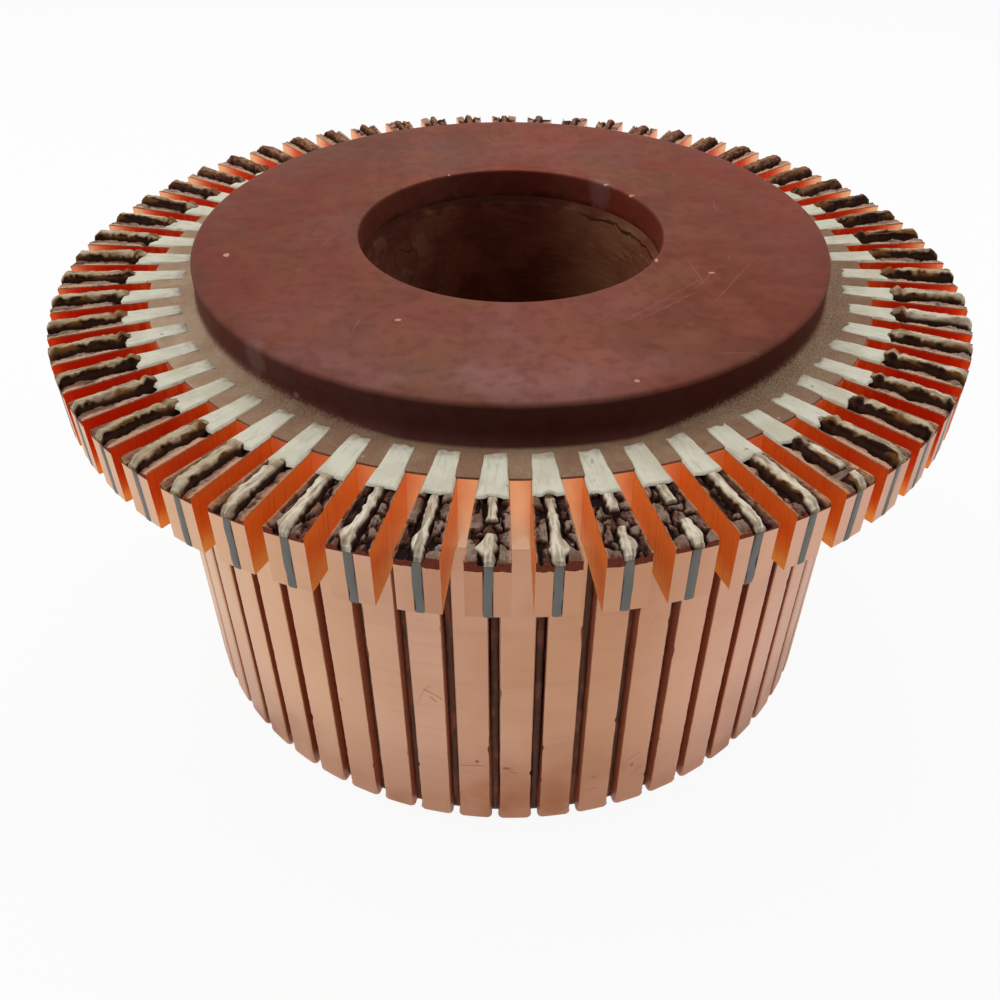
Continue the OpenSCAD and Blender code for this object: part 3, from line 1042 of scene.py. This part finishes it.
def skinRise(x, r, k):
    # height of the torn resin over the skin's top: plateaus with cracks between them on the front lugs and
    # ledges on the others, a trench on both sides of the mica and thin flats along the slots
    own, side = k * 11, np.sign(x) + k * 3.0
    beside = toSide(k, 0.3, 0.6)
    plateau, unbroken = skinCells(x, r, k)
    wide = 0.2 + 0.1 * beside + 0.3 * smooth(0.3, 0.6, sideways(k))
    beyond = np.abs(x - rollShift(k)) - 0.58 * beside
    trench = 1 - smooth(0.1, 0.3, beyond - 0.5 - wide * noise(r * 0.6, side, 51) * 1.5)
    trench = trench * (1 - brokenOff(r))
    ledge = -0.08 + 0.3 * (noise(r * 0.8, x * 1.2 + own, 67) - 0.7)
    plateau, unbroken = plateau * (1 - beside) + ledge * beside, np.maximum(unbroken, beside)
    knot = bell(r, 52.6, 0.6) * smooth(0.35, 0.7, hash01(k, np.sign(x), 53))
    edgeFlat = smooth(0.3, 0.1, wedgeHalf(r, ring["slotHalf"]) - np.abs(x))
    edgeFlat = edgeFlat * smooth(0.3, 0.5, noise(r * 0.6, side, 55) + 0.4 * beside)
    sunk = np.maximum(trench, knot)
    rise = plateau * unbroken + skin["pit"] * (1 - unbroken)
    rise = rise * (1 - sunk) + skin["pit"] * sunk
    rise = rise + 0.16 * waver(x * 3.0 + own, r * 0.8, 41) + 0.2 * waver(x * 5 + own, r * 3.5, 43)
    rise = rise * (1 - edgeFlat) - (0.18 - 0.1 * beside) * edgeFlat
    rise = rise - 0.3 * smooth(60.4, 61, r) * noise(x * 1.5 + own, r * 0, 47)
    return np.clip(np.where(r < strip["outer"] - 0.95, skin["underStrip"], rise), *skin["limits"])


def makeSkin():
    # torn resin on each lug: a height field over (across, along) whose rim is turned down to the copper
    rows, columns, riser = skin["rows"], skin["columns"], ring["riserR"]
    side = np.linspace(0.16, 1, columns // 2 - 1)
    across = np.concatenate([[-1], -side[::-1], [0], side, [1]])
    k, r, u = lattice(np.append(np.linspace(skin["inner"], riser, rows - 1), riser), across)
    x = u * (wedgeHalf(r, ring["slotHalf"]) - skin["gap"])
    z = ring["skinTop"] + skinRise(x, r, k)
    rim, atEnd = np.ones_like(z, bool), np.zeros_like(z)
    rim[:, 1:-1, 1:-1] = False
    atEnd[:, -1, :] = 1
    front = smooth(0.965, 0.985, frontwards(k))
    drop = (0.8 + 0.4 * noise(x * 2.0 + k * 11, r * 0, 59)) * (skin["low"] - skin["redBand"])
    z = np.where(rim, skin["low"] - front * atEnd * drop, z)
    r = r + (skin["proud"] - 0.15 * (np.abs(x) < 0.46)) * atEnd
    quads = np.array(copies(rows * columns, gridQuads(rows, columns, False)))
    points, faces, _, index = weld(onPlate(x, r, z, k).reshape(-1, 3), quads, np.zeros(len(quads)))
    a = np.arange(rows * columns).reshape(rows, columns)
    rimLoop = np.concatenate([a[0, 1:-1], a[1:-1, -1], a[-1, -2:0:-1], a[-2:0:-1, 0]])
    caps = index[copies(rows * columns, rimLoop[None])]
    toSlot = wedgeHalf(r, ring["slotHalf"]) - np.abs(x)
    beside = toSide(k, 0.3, 0.6)
    smear = beside * smooth(0.85, 0.35, toSlot) + (1 - beside) * smooth(0.2, 0.06, toSlot)
    uv, tone = np.empty((len(points), 2)), np.empty(len(points))
    uv[index] = np.stack([x + k * blade["lug"], r], axis=-1).reshape(-1, 2)
    tone[index] = smear.ravel()
    addPiece("torn_skin", points, faces + caps.tolist(), [tornResin], ["moulded_hub"],
             uv=uv, tone=tone, crease=28)


makeSkin()
print("resin made")

bush = {"boreR": 20.0, "low": 1.0, "high": 61.0, "bevel": 0.6, "mouthBevel": 1.0, "steps": 180}


def makeBush():
    bevelR, low, high = bush["boreR"] + bush["bevel"], bush["low"], bush["high"]
    outline = softOutline([
        (bevelR, low, 0, 4), (hub["bushR"], low, 0, whole)] + grip() + [
        (hub["bushR"], high, 0, 4), (bevelR, high, 0.1, 1),
        (bush["boreR"], high - bush["mouthBevel"], 0.1, 6), (bush["boreR"], low + bush["bevel"], 0, 1)])
    points, faces = revolve(outline, bush["steps"])
    addPiece("bush_sleeve", points, faces, [stainedSteel], ["bore_bush"])


makeBush()
print("bush made")

studio = {
    "floorHalf": 3000.0,
    "floorColour": (0.9, 0.9, 0.9, 1),
    "white": (1, 1, 1, 1),
    "whiter": 0.92,  # share of plain white in the floor that the camera and the metal see
    "world": 0.22,  # strength of the surroundings as a light
    "lampAim": (0, 0, 40),
    "lamps": [  # place in millimetres, size in millimetres, power in watts
        ((-420, 60, 420), 500, 1.3),
        ((430, 40, 380), 450, 0.9),
        ((0, 200, 600), 600, 1.5),
    ],
}


def seenPlainly(tree):
    # 1 for rays from the camera, off a shiny surface or through a clear one, else 0
    path = put(tree, "ShaderNodeLightPath")
    return most(path["Is Camera Ray"], path["Is Glossy Ray"], path["Is Transmission Ray"])


def makeFloor():
    h = studio["floorHalf"] * mm
    mesh = bpy.data.meshes.new("floor")
    mesh.from_pydata([(-h, -h, 0), (h, -h, 0), (h, h, 0), (-h, h, 0)], [], [(0, 1, 2, 3)])
    look = bpy.data.materials.new("paleFloor")
    look.use_nodes = True
    tree = look.node_tree
    tree.nodes.remove(tree.nodes["Principled BSDF"])
    plain = put(tree, "ShaderNodeBsdfDiffuse", {"Color": studio["floorColour"]})[0]
    white = put(tree, "ShaderNodeEmission", {"Color": studio["white"], "Strength": 1.0})[0]
    mix = put(tree, "ShaderNodeMixShader", {0: seenPlainly(tree) * studio["whiter"], 1: plain, 2: white})[0]
    plug(tree, tree.nodes["Material Output"].inputs["Surface"], mix)
    mesh.materials.append(look)
    addObject("floor", mesh)


def makeWorld():
    world = bpy.data.worlds.new("studio")
    bpy.context.scene.world = world
    world.use_nodes = True
    tree = world.node_tree
    sockets = tree.nodes["Background"].inputs
    plug(tree, sockets["Color"], studio["white"])
    plug(tree, sockets["Strength"], studio["world"] + seenPlainly(tree) * (1.0 - studio["world"]))


def makeLamps():
    for k, (place, size, power) in enumerate(studio["lamps"]):
        data = bpy.data.lights.new(f"softbox_{k + 1}", "AREA")
        data.shape = "DISK"
        data.size = size * mm
        data.energy = power
        lamp = addObject(data.name, data)
        lamp.location = Vector(place) * mm
        ahead = Vector(studio["lampAim"]) * mm - lamp.location
        lamp.rotation_euler = ahead.to_track_quat("-Z", "Y").to_euler()


view = {
    "lens": 35.397, "sensor": 36, "shiftX": -0.00865,
    "distance": 165.35, "aim": 16.64,  # in millimetres; the aim is a height on the axis
    "elevation": 39.74, "azimuth": -1.37, "roll": 0.46,  # in degrees
}


def makeCamera():
    e, a = math.radians(view["elevation"]), math.radians(view["azimuth"])
    data = bpy.data.cameras.new("camera")
    data.sensor_width = view["sensor"]
    data.lens = view["lens"]
    data.shift_x = view["shiftX"]
    data.clip_start = 0.005
    camera = addObject("camera", data)
    away = Vector((math.cos(e) * math.sin(a), -math.cos(e) * math.cos(a), math.sin(e)))
    camera.location = away * view["distance"] * mm + Vector((0, 0, view["aim"] * mm))
    look = (-away).to_track_quat("-Z", "Y") @ Quaternion((0, 0, 1), math.radians(view["roll"]))
    camera.rotation_euler = look.to_euler()
    bpy.context.scene.camera = camera


makeFloor()
makeWorld()
makeLamps()
makeCamera()
bpy.context.scene.view_settings.view_transform = "Standard"
print("studio made")
